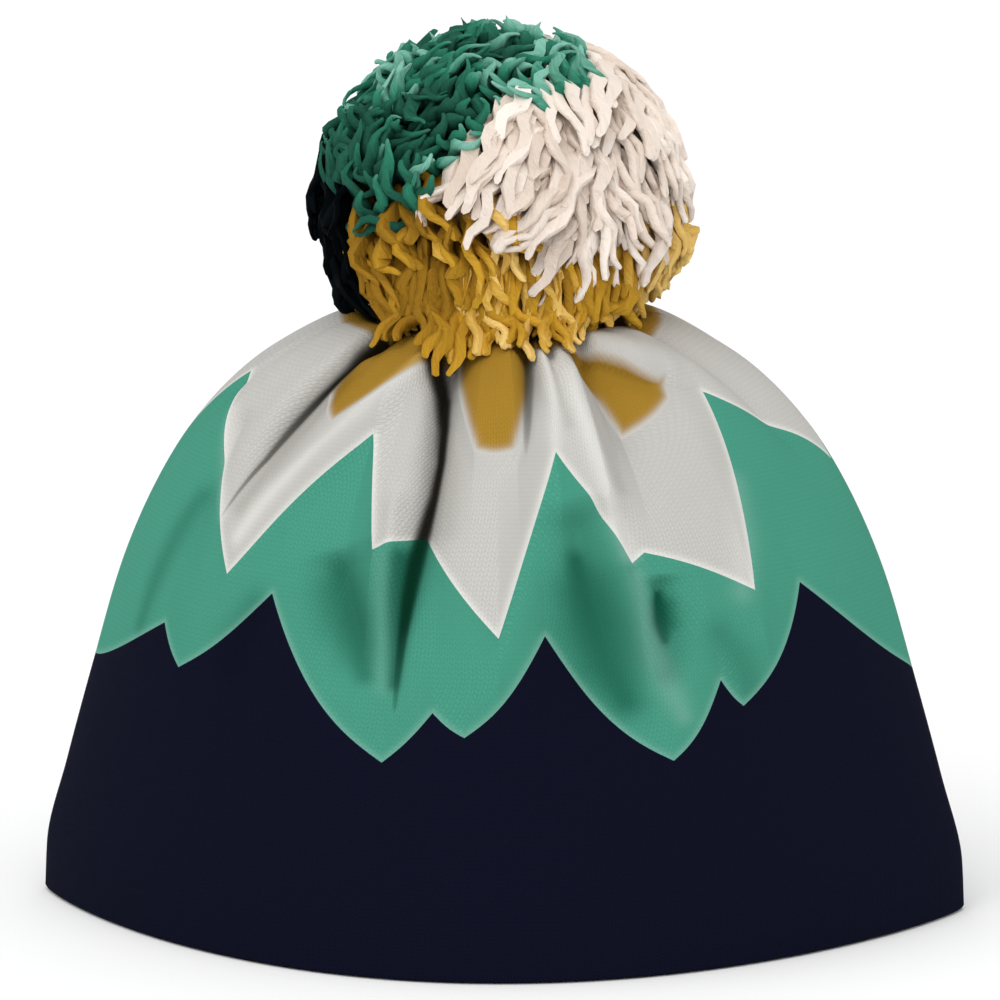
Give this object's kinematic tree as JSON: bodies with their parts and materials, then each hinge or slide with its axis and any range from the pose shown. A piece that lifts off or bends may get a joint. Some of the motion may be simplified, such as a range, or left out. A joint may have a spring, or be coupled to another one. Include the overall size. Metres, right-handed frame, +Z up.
{
  "type": "knitted beanie with pompom",
  "caption": "Knitted pull-on beanie with petal colour-work in navy, green, cream and mustard and a big four-colour yarn pompom.",
  "frame": {"origin": "on the floor plane of the hem, below the middle of the hat, so at the bottom centre of its box", "axes": "+Z up through the pompom, -Y out of the front, +X to the hat's right side as the front is viewed"},
  "size_m": [0.206, 0.162, 0.1986],
  "materials": {
    "navy_knit": "matt fine stocking-stitch knit",
    "green_knit": "matt fine stocking-stitch knit",
    "cream_knit": "matt fine stocking-stitch knit",
    "mustard_knit": "matt fine stocking-stitch knit",
    "navy_yarn": "cut yarn, fuzzy",
    "green_yarn": "cut yarn, fuzzy",
    "cream_yarn": "cut yarn, fuzzy",
    "mustard_yarn": "cut yarn, fuzzy",
    "tie_yarn": "twisted yarn, matt"
  },
  "bodies": {
    "root": {"crown_navy": "navy_knit", "crown_green": "green_knit", "crown_cream": "cream_knit", "crown_mustard": "mustard_knit", "pompom_navy": "navy_yarn", "pompom_green": "green_yarn", "pompom_cream": "cream_yarn", "pompom_mustard": "mustard_yarn", "pompom_tie": "tie_yarn"}
  },
  "joints": []
}
